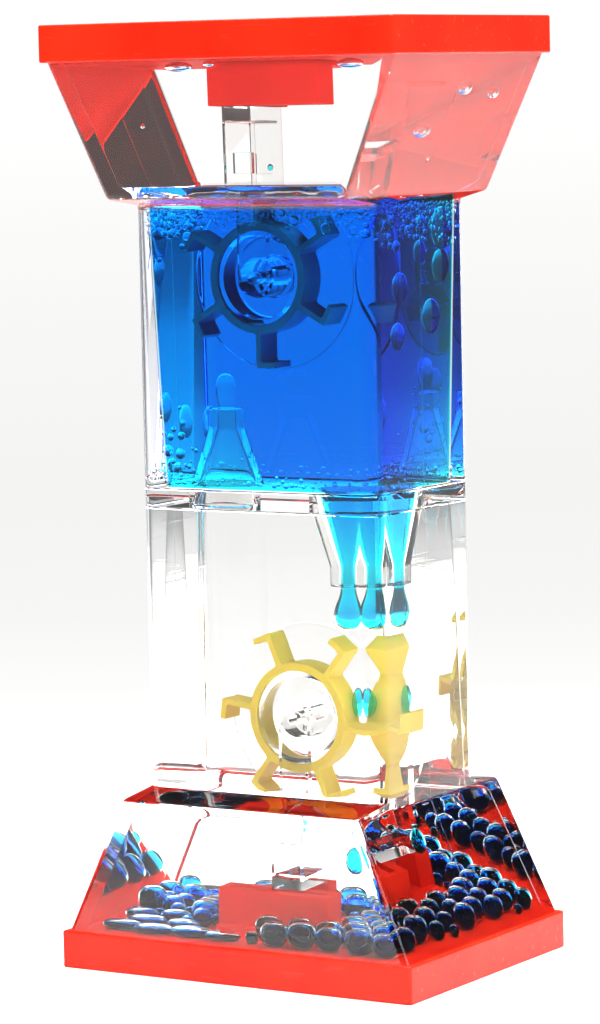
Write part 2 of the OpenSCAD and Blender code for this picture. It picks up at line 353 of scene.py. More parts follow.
def mix_colour(nt, fac, a, b):
    n = nt.nodes.new("ShaderNodeMix")
    n.data_type = "RGBA"
    n.inputs[6].default_value = (*a, 1)
    n.inputs[7].default_value = (*b, 1)
    nt.links.new(fac, n.inputs[0])
    return n.outputs[2]


def moulded(name, dark, light, rough=(0.16, 0.3), coat=0.25, ripple=0.00003, sub=0.0, ior=1.5,
            gloss=0.5):
    """Moulded plastic with flow lines, fine scratches and dust specks. Under oil its gloss is gone (ior near 1)."""
    m, nt, out = material(name)
    p = add(nt, "ShaderNodeBsdfPrincipled")
    p.inputs["IOR"].default_value = ior
    p.inputs["Specular IOR Level"].default_value = gloss
    p.inputs["Coat Weight"].default_value = coat
    p.inputs["Coat Roughness"].default_value = 0.06
    if sub:
        p.inputs["Subsurface Weight"].default_value = sub
        p.inputs["Subsurface Radius"].default_value = (1.0, 0.25, 0.1)
        p.inputs["Subsurface Scale"].default_value = 0.0012
    flow = noise_node(nt, 55, 4, (1, 1, 0.35))
    nt.links.new(mix_colour(nt, spread(nt, flow.outputs["Fac"], 0, 1, 0.3, 0.7), dark, light),
                 p.inputs["Base Color"])
    fine = noise_node(nt, 900, 2, (0.15, 1, 1))
    nt.links.new(spread(nt, fine.outputs["Fac"], rough[0], rough[1], 0.3, 0.75), p.inputs["Roughness"])
    speck = noise_node(nt, 2600, 1)
    n1 = bump(nt, flow.outputs["Fac"], 0.35, ripple * 6)
    n2 = bump(nt, fine.outputs["Fac"], 0.25, ripple, n1)
    n3 = bump(nt, spread(nt, speck.outputs["Fac"], 0, 1, 0.66, 0.72), 0.2, ripple, n2)
    nt.links.new(n3, p.inputs["Normal"])
    nt.links.new(p.outputs[0], out.inputs["Surface"])
    return m


def clear(name, ior, tint=(1, 1, 1), haze=(0.0, 0.02), wave=0.0, scratch=0.0):
    """Clear plastic or liquid film. Faint flow waves and hairline scratches bend the light a little."""
    m, nt, out = material(name)
    p = add(nt, "ShaderNodeBsdfPrincipled")
    p.inputs["Transmission Weight"].default_value = 1.0
    p.inputs["IOR"].default_value = ior
    flow = noise_node(nt, 60, 2, (1, 1, 0.3))
    nt.links.new(mix_colour(nt, spread(nt, flow.outputs["Fac"], 0, 1, 0.3, 0.7), tint,
                            tuple(min(1.0, c * 1.006) for c in tint)), p.inputs["Base Color"])
    hair = noise_node(nt, 700, 3, (0.05, 0.05, 1.0))
    nt.links.new(spread(nt, hair.outputs["Fac"], haze[0], haze[1], 0.62, 0.8), p.inputs["Roughness"])
    normal = None
    if wave:
        normal = bump(nt, flow.outputs["Fac"], 0.5, wave)
    if scratch:
        normal = bump(nt, spread(nt, hair.outputs["Fac"], 0, 1, 0.6, 0.78), 0.5, scratch, normal)
    if normal is not None:
        nt.links.new(normal, p.inputs["Normal"])
    nt.links.new(p.outputs[0], out.inputs["Surface"])
    return m


def liquid(name, ior, colour=None, density=0.0, wave=0.00002, scale=300):
    """A liquid body: refraction at its skin, absorption inside."""
    m, nt, out = material(name)
    g = nt.nodes.new("ShaderNodeBsdfGlass")
    g.inputs["IOR"].default_value = ior
    g.inputs["Roughness"].default_value = 0.0
    w = noise_node(nt, scale, 2)
    nt.links.new(mix_colour(nt, w.outputs["Fac"], (1, 1, 1), (0.985, 0.995, 1)), g.inputs["Color"])
    nt.links.new(bump(nt, w.outputs["Fac"], 0.4, wave), g.inputs["Normal"])
    nt.links.new(g.outputs[0], out.inputs["Surface"])
    if density:
        v = nt.nodes.new("ShaderNodeVolumeAbsorption")
        v.inputs["Color"].default_value = (*colour, 1)
        v.inputs["Density"].default_value = density
        nt.links.new(v.outputs[0], out.inputs["Volume"])
    return m


RED = moulded("red_plastic_look", (0.74, 0.011, 0.003), (0.86, 0.023, 0.006), coat=0.04, sub=0.06, ior=1.42,
              gloss=0.22)
RED_WET = moulded("red_plastic_in_oil", (0.76, 0.014, 0.005), (0.88, 0.026, 0.010), rough=(0.3, 0.4), coat=0.0,
                  sub=0.06, ior=1.03)
YELLOW = moulded("yellow_plastic_in_oil", (0.76, 0.565, 0.05), (0.86, 0.675, 0.08), rough=(0.3, 0.42), coat=0.0,
                 sub=0.2, ior=1.05)
# The upper ring's yellow plastic with painted shade: its colour is darkened to grey-violet to stand in for the dim,
# blue-filtered light that reaches it inside the water.
YELLOW_PAINTED_SHADE = moulded("yellow_plastic_painted_shade_in_water", (0.26, 0.19, 0.21), (0.34, 0.25, 0.26), rough=(0.3, 0.42), coat=0.0,
                      ior=1.1)
N_OIL = 1.46
SHELL = clear("clear_shell_air", 1.49, wave=0.000012, scratch=0.000004)
FILM = clear("clear_shell_oil", 1.035)
CEMENT = clear("clear_shell_joint", 1.0)
INNER = clear("clear_inner_oil", 1.075, tint=(0.885, 0.88, 0.865))
HUB_CLEAR = clear("clear_hub_oil", 1.05, tint=(0.965, 0.96, 0.945))
INNER_WET = clear("clear_inner_water", 1.13, tint=(0.97, 0.98, 0.98))
OIL = clear("clear_oil_look", 1.0, tint=(0.995, 0.997, 0.992))
ABS = (0.0, 0.9785, 0.9998)
DENS = 3000.0
WATER = liquid("blue_water_look", 0.913, ABS, DENS, wave=0.00001, scale=120)
WATER_THIN = liquid("blue_water_stream", 0.913, (0.0, 0.970, 0.9999), 4000.0, wave=0.00001, scale=400)
BEAD = liquid("blue_water_bead", 0.913, (0.0, 0.93, 0.9965), 5000.0, wave=0.00001, scale=500)
OIL_DROP = liquid("oil_droplet_in_water", 1.095, wave=0.00001, scale=600)
AIR = liquid("air_bubble_look", 0.685, wave=0.000005, scale=600)


# ------------------------------------------------------------------ caps and sockets

def rrect_outline(w, d, r, n=7):
    return [p for i, p in enumerate(rr(w, d, r, n))
            if i not in (0, 1, 2) and i not in (3 + 2 * (n + 1), 4 + 2 * (n + 1), 5 + 2 * (n + 1))]


def cap(name, up):
    """A plate with softly broken edges. Its inner face lies under the oil."""
    half = CAP_T / 2

    def to(p):
        return (p[0], p[1], p[2] + half if not up else p[2] + H - half)
    v, f = outline_solid([rrect_outline(CAP_W, CAP_D, 0.6)], half, 0.3, 3, to)
    ob = mesh_object(name, v, f, [RED, RED_WET], replaces=[name], angle=40)
    face_z = (CAP_T if not up else H - CAP_T) * MM
    for poly in ob.data.polygons:
        if abs(poly.center.z - face_z) < 1e-5 and abs(poly.normal.z) > 0.9:
            poly.material_index = 1


cap("base_cap", False)
cap("top_cap", True)


def box_outline(x0, y0, x1, y1):
    return [(x0, y0), (x1, y0), (x1, y1), (x0, y1)]


def socket(name, up, steps, slot_x, rear_x):
    """Stepped slotted block, a small rear block and a thin floor."""
    lo, hi = bx(name)
    sz = hi[2] if not up else H - lo[2]
    (ax, bx0), cx = steps, rear_x
    front = [(ax, -8.0), (bx0[0], -8.0), (bx0[0], -9.5), (bx0[1], -9.5), (bx0[1], -2.8), (ax, -2.8)]
    slot_loop = box_outline(slot_x[0], -7.1, slot_x[1], -5.2)
    rear = box_outline(cx - 3.3, 4.0, cx + 3.3, 8.2)
    rear_slot = box_outline(cx - 2.75, 5.2, cx + 2.75, 7.1)

    def level(z0, z1):
        m = (z0 + z1) / 2
        return lambda p: (p[0], p[1], (p[2] + m) if not up else H - (p[2] + m))
    parts = []
    for loops, z0, z1 in (([front, slot_loop], 7.4, sz), ([front], CAP_T, 7.6),
                          ([rear, rear_slot], 7.4, sz), ([rear], CAP_T, 7.6),
                          ([box_outline(ax, -9.5, bx0[1], 8.2)], CAP_T, CAP_T + 0.9)):
        parts.append(outline_solid(loops, (z1 - z0) / 2, 0.18, 2, level(z0, z1)))
    v, f = joined(parts)
    mesh_object(name, v, f, [RED_WET], replaces=[name], angle=40)


socket("lower_fork_socket", False, (-9.0, (1.4, 11.3)), (-7.4, 10.0), WX)
socket("upper_fork_socket", True, (-7.6, (-4.8, 12.9)), (-6.2, 9.4), -WX)


# ------------------------------------------------------------------ clear shells

def shell_rings(outer, inner):
    rings, mats = [], []
    for z, w, d, r in outer:
        rings.append([(x, y, z) for x, y in rr(w, d, r, ridge=0.05)])
        mats.append(0)
    mats[-1] = 2                                   # joint face at the divider
    for z, w, d, r in inner:
        rings.append([(x, y, z) for x, y in rr(w, d, r)])
        mats.append(1)
    mats[-1] = 0                                   # rim set into the cap
    return rings, mats


IN_W, IN_D, TAPER = COL_W - 6.5, COL_D - 6.9, 3.35      # inside of the column at the divider, and its draft
FW, FD = bx("lower_tank")[1][0] * 2, bx("lower_tank")[1][1] * 2
COL_R = 2.86
OUTER = [(CAP_T - 0.3, FW + 0.3, FD, 1.3), (25.9, COL_W + 0.95, 44.12, 1.25), (26.35, COL_W + 0.5, 44.05, 1.25),
         (26.65, COL_W + 0.2, 43.9, 1.25), (26.85, COL_W + 0.04, 43.6, 1.3), (26.96, COL_W, 43.1, 1.35),
         (27.03, COL_W, 42.5, 1.4), (27.88, COL_W, 31.4, 2.6), (27.98, COL_W, 30.5, 2.75),
         (28.15, COL_W, 29.95, COL_R), (28.45, COL_W, 29.7, COL_R), (28.9, COL_W, COL_D, COL_R),
         (PLO - 0.16, COL_W, COL_D, COL_R), (PLO - 0.01, COL_W - 0.24, COL_D - 0.24, COL_R - 0.1)]
CR = 2.0
INNER_R = [(PLO - 0.01, IN_W, IN_D, CR), (27.4, IN_W + TAPER, IN_D + TAPER, CR),
           (26.6, IN_W + TAPER + 0.05, IN_D + TAPER + 0.4, 1.8), (26.15, IN_W + TAPER + 0.1, IN_D + TAPER + 1.5, 1.6),
           (25.0, IN_W + TAPER + 0.2, 37.8, 1.1), (24.7, IN_W + TAPER + 0.35, 38.7, 1.0), (24.2, IN_W + TAPER + 0.6, 39.3, 1.0), (CAP_T - 0.3, 57.6, 42.7, 1.2)]


def tank(name, up):
    rings, mats = shell_rings(OUTER, INNER_R)
    if up:
        rings = [[turn_over(p) for p in r] for r in rings]
    v, f, idx = ring_loft(rings, close=True, strip_mats=mats)
    mesh_object(name, v, f, [SHELL, FILM, CEMENT], idx, replaces=[name], angle=22)


tank("lower_tank", False)
tank("upper_tank", True)


def divider():
    c = (COL_W - 0.24, COL_D - 0.24, COL_R - 0.1)
    rows = [(PLO + 0.01, IN_W, IN_D, CR, 2), (PLO + 0.01, *c, 0), (PLO + 0.16, COL_W, COL_D, COL_R, 0),
            (PHI - 0.16, COL_W, COL_D, COL_R, 0), (PHI - 0.01, *c, 2), (PHI - 0.01, IN_W, IN_D, CR, 0)]
    rings = [[(x, y, z) for x, y in rr(w, d, r, ridge=0.05 if d > IN_D + 1 else 0)] for z, w, d, r, _ in rows]
    mats = [r[4] for r in rows]
    v, f, idx = ring_loft(rings, strip_mats=mats, start_cap=1, end_cap=1)
    ob = mesh_object("divider_plate", v, f, [SHELL, FILM, CEMENT], idx, body=None, weighted=False)
    for s in (-1, 1):
        cv, cf = lathe([(0, PLO - 1), (RO + 0.03, PLO - 1), (RO + 0.03, PHI + 1), (0, PHI + 1)], 64, "z", (s * NX, NY, 0))
        cut = scratch_object(cv, cf, [CEMENT])
        boolean(ob, cut, "DIFFERENCE")
    smooth_again(ob, 22)
    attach(ob, TANK)
    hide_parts("divider_plate")


divider()


# ------------------------------------------------------------------ nozzles

NZ0 = noz_lo[2]                 # tip of the down nozzle
NZ1 = NZ0 + 3.2
NOZZLE = [(RB, NZ0 + 0.22), (RB + 0.16, NZ0 + 0.04), (RB + 0.36, NZ0), (RT - 0.35, NZ0), (RT - 0.12, NZ0 + 0.08),
          (RT - 0.03, NZ0 + 0.3), (RT, NZ1 - 0.2), (RT + 0.06, NZ1 + 0.15), (RO - 0.5, PLO - 0.9), (RO - 0.22, PLO - 0.5),
          (RO, PLO), (RO, PHI), (RF + 0.5, PHI), (RF + 0.2, PHI - 0.15), (RF, PHI - 0.6), (RB + 0.06, NZ1 + 0.15), (RB, NZ1 - 0.1)]


def nozzle(name, up):
    v, f = lathe(NOZZLE, 96, "z", (NX, NY, 0), closed=True)
    if up:
        v = [turn_over(p) for p in v]
    mesh_object(name, v, f, [INNER], replaces=[name], angle=28)


nozzle("down_nozzle", False)
nozzle("up_nozzle", True)


# ------------------------------------------------------------------ forks and axles

def fork(name, up):
    lo, hi = bx("lower_fork")
    w2, d2, t = (hi[0] - lo[0]) / 2, (hi[1] - lo[1]) / 2, 1.7
    z0 = 12.55
    # U profile in YZ, extruded along X, with round inner corners
    def fillet(cy, cz, r, a0):
        return [(cy + r * math.cos(math.radians(a0 + 90 * i / 5)),
                 cz + r * math.sin(math.radians(a0 + 90 * i / 5))) for i in range(6)]
    top = hi[2] + 1
    prof = [(-d2, 8), (-d2 + t, 8), (-d2 + t, z0), (d2 - t, z0), (d2 - t, 8), (d2, 8), (d2, top), (d2 - t, top)]
    prof += [(d2 - t, z0 + 3.0)] + [(d2 - t - 0.8 + 0.8 * math.cos(math.radians(-90 * i / 5)),
                                      z0 + 3.0 + 0.8 * math.sin(math.radians(-90 * i / 5))) for i in range(1, 6)]
    prof += [(-d2 + t + 0.8, z0 + 2.2)] + [(-d2 + t + 0.8 - 0.8 * math.sin(math.radians(90 * i / 5)),
                                            z0 + 3.0 - 0.8 * math.cos(math.radians(90 * i / 5))) for i in range(1, 6)]
    prof += [(-d2 + t, top), (-d2, top)]
    v, f = outline_solid([prof], w2, 0.22, 2, lambda p: (p[2] + WX, p[0], p[1]))
    ob = mesh_object(name, v, f, [INNER], body=None, weighted=False)
    # round tops and axle hole
    stamp = [(-w2 - 1, 7), (w2 + 1, 7), (w2 + 1, 30), (w2 - 0.005, 32), (w2 - 0.005, WZ)]
    stamp += [((w2 - 0.005) * math.cos(math.radians(180 * i / 24)), WZ + (w2 - 0.005) * math.sin(math.radians(180 * i / 24)))
              for i in range(1, 24)]
    stamp += [(-w2 + 0.005, WZ), (-w2 + 0.005, 32), (-w2 - 1, 30)]
    sv, sf = outline_solid([stamp, circle(0.91, 32, (0, WZ))], d2 + 2, 0.01, 0,
                           lambda p: (p[0] + WX, -p[2], p[1]))
    boolean(ob, scratch_object(sv, sf), "INTERSECT")
    for y0, y1 in ((-d2 + t - 0.2, -d2 + t + 1.0), (d2 - t - 1.0, d2 - t + 0.2)):
        pv, pf = outline_solid([box_outline(WX - 1.5, 19.6, WX + 1.5, 22.8)], (y1 - y0) / 2, 0.12, 1,
                               lambda p: (p[0], (y0 + y1) / 2 - p[2], p[1]))
        boolean(ob, scratch_object(pv, pf), "UNION")
    if up:
        for vert in ob.data.vertices:
            x, y, z = vert.co
            vert.co = (-x, y, H * MM - z)
    smooth_again(ob, 25)
    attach(ob, TANK)
    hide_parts(name)


fork("lower_fork", False)
fork("upper_fork", True)


def axle(name, up):
    lo, hi = bx("lower_axle")
    y0, y1 = lo[1], hi[1]
    prof = [(0, y0), (0.7, y0), (0.86, y0 + 0.08), (0.9, y0 + 0.25), (0.9, y1 - 0.25), (0.86, y1 - 0.08), (0.7, y1), (0, y1)]
    v, f = lathe(prof, 40, "y", (WX, 0, WZ))
    if up:
        v = [turn_over(p) for p in v]
    mesh_object(name, v, f, [INNER], replaces=[name], angle=30)


axle("lower_axle", False)
axle("upper_axle", True)


# ------------------------------------------------------------------ paddle wheels

HUB = [(0.95, -5.0), (2.8, -5.0), (3.02, -4.92), (3.1, -4.7), (3.1, 1.2), (3.4, 1.5), (3.9, 1.6), (5.9, 1.6), (6.2, 1.5),
       (6.35, 1.2), (6.42, -4.0), (6.5, -4.15), (6.6, -4.2), (7.1, -4.2), (7.22, -4.15), (7.27, -4.0), (7.27, 1.95),
       (14.2, 1.95), (14.42, 2.02), (14.5, 2.2), (14.5, 2.7), (14.42, 2.86), (14.2, 2.93), (3.5, 2.93), (3.2, 3.05), (3.1, 3.4),
       (3.1, 4.7), (3.02, 4.92), (2.8, 5.0), (0.95, 5.0)]


def hub(name, x, z, body, mat):
    v, f = lathe(HUB, 120, "y", (x, 0, z), closed=True)
    mesh_object(name, v, f, [mat], body=body, replaces=[name], angle=28)


hub("lower_wheel_hub", WX, WZ, LOWER, HUB_CLEAR)
hub("upper_wheel_hub", -WX, H - WZ, UPPER, INNER_WET)


def paddle_outline(phase, count=6, rr_=8.6, tip=13.9, t=0.9, lip=2.85):
    """Outer edge of the ring with its bent-tip paddles, anticlockwise."""
    pts = []
    root = 0.42
    half = math.degrees(math.asin((t / 2 + root) / rr_))
    for i in range(count):
        a = phase + i * 360 / count

        def at(u, v):
            c, s = math.cos(math.radians(a)), math.sin(math.radians(a))
            return (u * c - v * s, u * s + v * c)
        foot = rr_ * math.cos(math.radians(half))
        pts.append(at(foot, -t / 2 - root))
        pts.append(at(foot + 0.12, -t / 2 - 0.16))
        pts.append(at(foot + root, -t / 2))
        pts.append(at(tip - 0.35, -t / 2))
        pts.append(at(tip - 0.1, -t / 2 + 0.1))
        pts.append(at(tip, -t / 2 + 0.35))
        pts.append(at(tip, lip))
        pts.append(at(tip - t, lip))
        pts.append(at(tip - t, t / 2 + 0.25))
        pts.append(at(tip - t - 0.25, t / 2))
        pts.append(at(foot + root, t / 2))
        pts.append(at(foot + 0.12, t / 2 + 0.16))
        pts.append(at(foot, t / 2 + root))
        n = 9
        a0, a1 = a + half, a + 360 / count - half
        pts += [(rr_ * math.cos(math.radians(a0 + (a1 - a0) * k / n)),
                 rr_ * math.sin(math.radians(a0 + (a1 - a0) * k / n))) for k in range(1, n)]
    return pts


def paddle_ring(name, x, z, phase, body, mat):
    lo, hi = bx(name)
    y0, y1 = lo[1], hi[1]
    mid = (y0 + y1) / 2
    v, f = outline_solid([paddle_outline(phase), circle(7.3, 72)], (y1 - y0) / 2, 0.1, 2,
                         lambda p: (p[0] + x, mid - p[2], p[1] + z))
    mesh_object(name, v, f, [mat], body=body, replaces=[name], angle=35)


paddle_ring("lower_paddle_ring", WX, WZ, 52, LOWER, YELLOW)
# The upper ring uses the yellow plastic with painted shade, darkened for the dim light inside the water.
paddle_ring("upper_paddle_ring", -WX, H - WZ, 30, UPPER, YELLOW_PAINTED_SHADE)


# ------------------------------------------------------------------ liquids

def grid_noise(x, y, k, seed=0.0):
    return noise.noise(Vector((x * k, y * k, seed)))


WATER_TOP = bx("upper_blue_water")[1][2] - 1.1


def water_body():
    g = 0.04
    rows = [(PHI + 0.05, IN_W - 0.3, IN_D - 0.3, CR), (PHI + 0.2, IN_W - g * 2, IN_D - g * 2, CR)]
    for k in range(1, 9):
        z = PHI + 0.2 + (WATER_TOP - 1.2 - PHI - 0.2) * k / 8
        u = (z - PHI) / (H - 27.4 - PHI)
        rows.append((z, IN_W + TAPER * u - g * 2, IN_D + TAPER * u - g * 2, CR))
    rings = [[(x, y, z) for x, y in dense(rr(w, d, r), 1.2)] for z, w, d, r in rows]
    w, d = rows[-1][1], rows[-1][2]
    rim = dense(rr(w, d, CR), 1.2)
    # wavy rim against the wall, then the top surface drawn in rings to the middle
    for s, lift in ((1.0, 0.75), (0.992, 1.05), (0.975, 1.12), (0.94, 0.95), (0.88, 0.8), (0.78, 0.72),
                    (0.62, 0.7), (0.42, 0.7), (0.2, 0.7)):
        ring = []
        for i, (x, y) in enumerate(rim):
            wob = 0.38 * grid_noise(x, y, 0.28, 3.1) + 0.2 * grid_noise(x, y, 0.9, 7.7)
            ring.append((x * s, y * s, WATER_TOP - 1.2 + lift + wob * (1.0 if s > 0.7 else s)))
        rings.append(ring)
    v, f, _ = ring_loft(rings, start_cap=0)
    n = len(rings[0])
    v.append((0, 0, WATER_TOP - 0.5))
    last = (len(rings) - 1) * n
    f += [(last + i, last + (i + 1) % n, len(v) - 1) for i in range(n)]
    ob = mesh_object("upper_blue_water", v, f, [WATER], body=None, weighted=False)
    cv, cf = lathe(oil_silhouette(), 96, "z", (NX, NY, 0))
    boolean(ob, scratch_object([turn_over(p) for p in cv], cf, [WATER]), "DIFFERENCE")
    ob.data.shade_smooth()
    ob.data.set_sharp_from_angle(angle=math.radians(35))
    mod = ob.modifiers.new("weights", "WEIGHTED_NORMAL")
    mod.weight = 80
    mod.keep_sharp = True
    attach(ob, TANK)
    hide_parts("upper_blue_water")


def dense(loop, step):
    """Adds points along the long edges of a loop, the same number at every height."""
    out = []
    for i, a in enumerate(loop):
        b = loop[(i + 1) % len(loop)]
        out.append(a)
        long_x, long_y = abs(b[0] - a[0]), abs(b[1] - a[1])
        n = 28 if long_x > 10 else (9 if long_y > 5 else 1)
        for k in range(1, n):
            out.append((a[0] + (b[0] - a[0]) * k / n, a[1] + (b[1] - a[1]) * k / n))
    return out


RISE = [(RB - 0.03, -0.02), (1.34, -0.5), (1.48, -1.2), (1.65, -2.1), (1.72, -3.1), (1.6, -4.1), (1.25, -4.9), (0.7, -5.3), (0, -5.42)]


def oil_silhouette():
    """Outside of a nozzle with the drop on its tip, as one closed turned form (drawn hanging)."""
    g = 0.03
    pts = [(0, PLO + 0.6), (RO, PLO + 0.6), (RO + g, PLO - 0.02), (RO - 0.22 + g, PLO - 0.5), (RO - 0.5 + g, PLO - 0.9),
           (RT + 0.06 + g, NZ1 + 0.15), (RT + g, NZ1 - 0.2), (RT - 0.03 + g, NZ0 + 0.3), (RT - 0.12 + g, NZ0 + 0.06),
           (RT - 0.35, NZ0 - g), (RB + 0.2, NZ0 - g)]
    pts += [(r, NZ0 - g + h) for r, h in RISE]
    return pts


water_body()


def stream():
    """Water in the lower funnel with the drop that hangs from its tip."""
    g = 0.02
    prof = [(0, PHI - 0.04), (RF, PHI - 0.04), (RF + 0.15 - g, PHI - 0.2), (RF - g, PHI - 0.6), (RB + 0.06 - g, NZ1 + 0.15),
            (RB - g, NZ1 - 0.1), (RB - g, NZ0 + 0.25), (RB - 0.02, NZ0), (1.32, NZ0 - 0.5), (1.4, NZ0 - 1.0), (1.62, NZ0 - 1.7),
            (2.04, NZ0 - 2.6), (2.42, NZ0 - 3.6), (2.58, NZ0 - 4.5), (2.48, NZ0 - 5.3), (2.05, NZ0 - 6.05),
            (1.3, NZ0 - 6.5), (0.65, NZ0 - 6.66), (0, NZ0 - 6.7)]
    v, f = lathe(prof, 72, "z", (NX, NY, 0))
    mesh_object("nozzle_water", v, f, [WATER_THIN], replaces=["nozzle_water"], angle=50, weighted=False)


stream()


def rising_oil():
    """The oil in the upper funnel and its drop, a hair inside the water's edge."""
    prof = [(0, PHI - 0.06), (RF + 0.1, PHI - 0.06), (RF - 0.04, PHI - 0.6), (RB, NZ1 + 0.15), (RB - 0.04, NZ1 - 0.1),
            (RB - 0.04, NZ0 + 0.1)]
    prof += [(max(0.0, r - 0.04), NZ0 + h + 0.03) for r, h in RISE]
    v, f = lathe(prof, 72, "z", (NX, NY, 0))
    mesh_object("rising_oil_drop", [turn_over(p) for p in v], f, [OIL],
                replaces=["rising_oil_drop"], angle=50, weighted=False)


rising_oil()


def oil_body(name, up):
    g = 0.03
    rows = [(z, w - 2 * g, d - 2 * g, r) for z, w, d, r in INNER_R]
    top = PLO - 0.06 if not up else bx("upper_clear_oil")[1][2]
    if not up:
        rows[0] = (top, *rows[0][1:])
        rows[-1] = (CAP_T + 0.02, *rows[-1][1:])
    else:
        # from the water's surface to the cap
        z_w = H - WATER_TOP - 0.6
        rows = [(z_w, rows[1][1] - 0.1, rows[1][2] - 0.1, CR)] + [r for r in rows if r[0] < z_w - 0.1]
        rows[-1] = (CAP_T + 0.02, *rows[-1][1:])
    rings = [[(x, y, z) for x, y in rr(w, d, r)] for z, w, d, r in rows]
    if up:
        rings = [[turn_over(p) for p in r] for r in rings]
    v, f, _ = ring_loft(rings, start_cap=0, end_cap=0)
    mesh_object(name, v, f, [OIL], replaces=[name], angle=22)


oil_body("lower_clear_oil", False)
oil_body("upper_clear_oil", True)


def ellipsoid(c, r, rings=16, seg=28, sharp=0.0):
    """A drop: radii r, drawn to a slightly narrower top by sharp."""
    prof = [(math.sin(math.pi * i / rings), -math.cos(math.pi * i / rings)) for i in range(rings + 1)]
    verts, faces = lathe([(a if 0 < i < rings else 0, b) for i, (a, b) in enumerate(prof)], seg)
    out = []
    for x, y, z in verts:
        k = 1 - sharp * max(0.0, z) ** 2
        out.append((c[0] + x * r[0] * k, c[1] + y * r[1] * k, c[2] + z * r[2]))
    return out, faces


v, f = ellipsoid((12.15, 0.3, 42.0), (1.0, 1.5, 2.3), sharp=0.12)
mesh_object("paddle_water_drop", v, f, [WATER_THIN], body=LOWER,
            replaces=["paddle_water_drop"], weighted=False)
parts = [ellipsoid((12.5, 0.9, 17.0), (1.7, 1.7, 2.2), sharp=0.1)]
for c, r in (((-1.6, 4.2, 125.2), 0.5), ((4.6, -3.2, 21.8), 0.62), ((4.9, -2.6, 24.6), 0.42), ((12.0, 2.2, 21.2), 0.45)):
    parts.append(ellipsoid(c, (r, r, r * 1.1), 10, 18))
v, f = joined(parts)
mesh_object("falling_water_drop", v, f, [WATER_THIN], replaces=["falling_water_drop"], weighted=False)


def settled():
    """The layer of drops on the base: beads that crowd together, with a few merged pools."""
    dice = Dice(77)
    W2, D2 = 57.6 / 2 - 0.15, 42.7 / 2 - 0.15

    def blocked(x, y, r):
        wall = 0.45 * 2.2          # the walls lean in
        if abs(x) > W2 - wall - r or abs(y) > D2 - 0.2 - r:
            return True
        return (-9.0 - r < x < 12.6 + r) and (-9.6 - r < y < 8.4 + r)
    spots = []
    for x, y, r, h, sx in POOLS:
        spots.append((x, y, r, h, sx, 0.0))
    pitch = 5.15
    cells = []
    for j in range(-6, 7):
        for i in range(-7, 8):
            cells.append((i * pitch + (j % 2) * pitch / 2, j * pitch * 0.866))
    for x, y in cells:
        r = dice(2.35, 2.75)
        x, y = x + dice(-0.5, 0.5), y + dice(-0.5, 0.5)
        x = max(-W2 + 1.0 + r, min(W2 - 1.0 - r, x))
        y = max(-D2 + 0.22 + r, min(D2 - 0.22 - r, y))
        near = [math.hypot((x - q[0]) / q[4], y - q[1]) - q[2] for q in spots]
        r = min([r] + [d + 0.18 for d in near])
        if r < 1.5 or blocked(x, y, r - 0.1) or (x < 1.0 and y < -9.8):
            continue
        spots.append((x, y, r, min(r * 1.62, 4.2) * dice(0.93, 1.05), dice(0.96, 1.05), dice(0, 3.1)))
    for k in range(9000):
        r = dice(0.9, 1.9)
        x, y = dice(-W2, W2), dice(-D2, D2)
        if not (x < 1.0 and y < -9.8) and not blocked(x, y, r) and all(math.hypot((x - q[0]) / q[4], y - q[1]) > r + q[2] - 0.15 for q in spots):
            spots.append((x, y, r, r * 1.7, 1.0, 0.0))
    parts = []
    for x, y, r, h, sx, turn in spots:
        prof = [(0, 0.0), (0.42, 0.0), (0.6, 0.03), (0.78, 0.11), (0.91, 0.24), (0.98, 0.38), (1.0, 0.5),
                (0.97, 0.65), (0.89, 0.78), (0.75, 0.885), (0.55, 0.955), (0.3, 0.99), (0, 1.0)]
        vv, ff = lathe(prof, 30)
        c, s = math.cos(turn), math.sin(turn)
        out = []
        for a, b, z in vv:
            a, b = a * c - b * s, a * s + b * c
            a, b = a * sx, b
            a, b = a * c + b * s, -a * s + b * c
            wob = 1 + 0.02 * math.sin(3 * math.atan2(b, a) + x) * (1 if r < 3.2 else 3)
            out.append((x + a * r * wob, y + b * r * wob, CAP_T + 0.03 + z * h))
        parts.append((out, ff))
    v, f = joined(parts)
    mesh_object("settled_water_drops", v, f, [BEAD],
                replaces=["settled_water_drops"], weighted=False, angle=60)


POOLS = [(-23.4, -17.2, 2.6, 1.5, 1.4), (-17.0, -18.0, 2.5, 1.4, 1.5), (-10.2, -17.4, 2.7, 1.5, 1.4), (-20.6, -12.6, 2.9, 1.8, 1.3),
         (-13.6, -12.9, 2.4, 1.7, 1.25), (-23.8, -7.2, 2.6, 1.9, 1.2), (-17.4, -7.0, 2.4, 2.1, 1.2), (-4.4, -17.6, 2.3, 1.3, 1.4),
         (-14.0, 4.6, 3.3, 2.9, 1.15), (-20.0, 14.6, 3.4, 2.8, 1.2)]
settled()


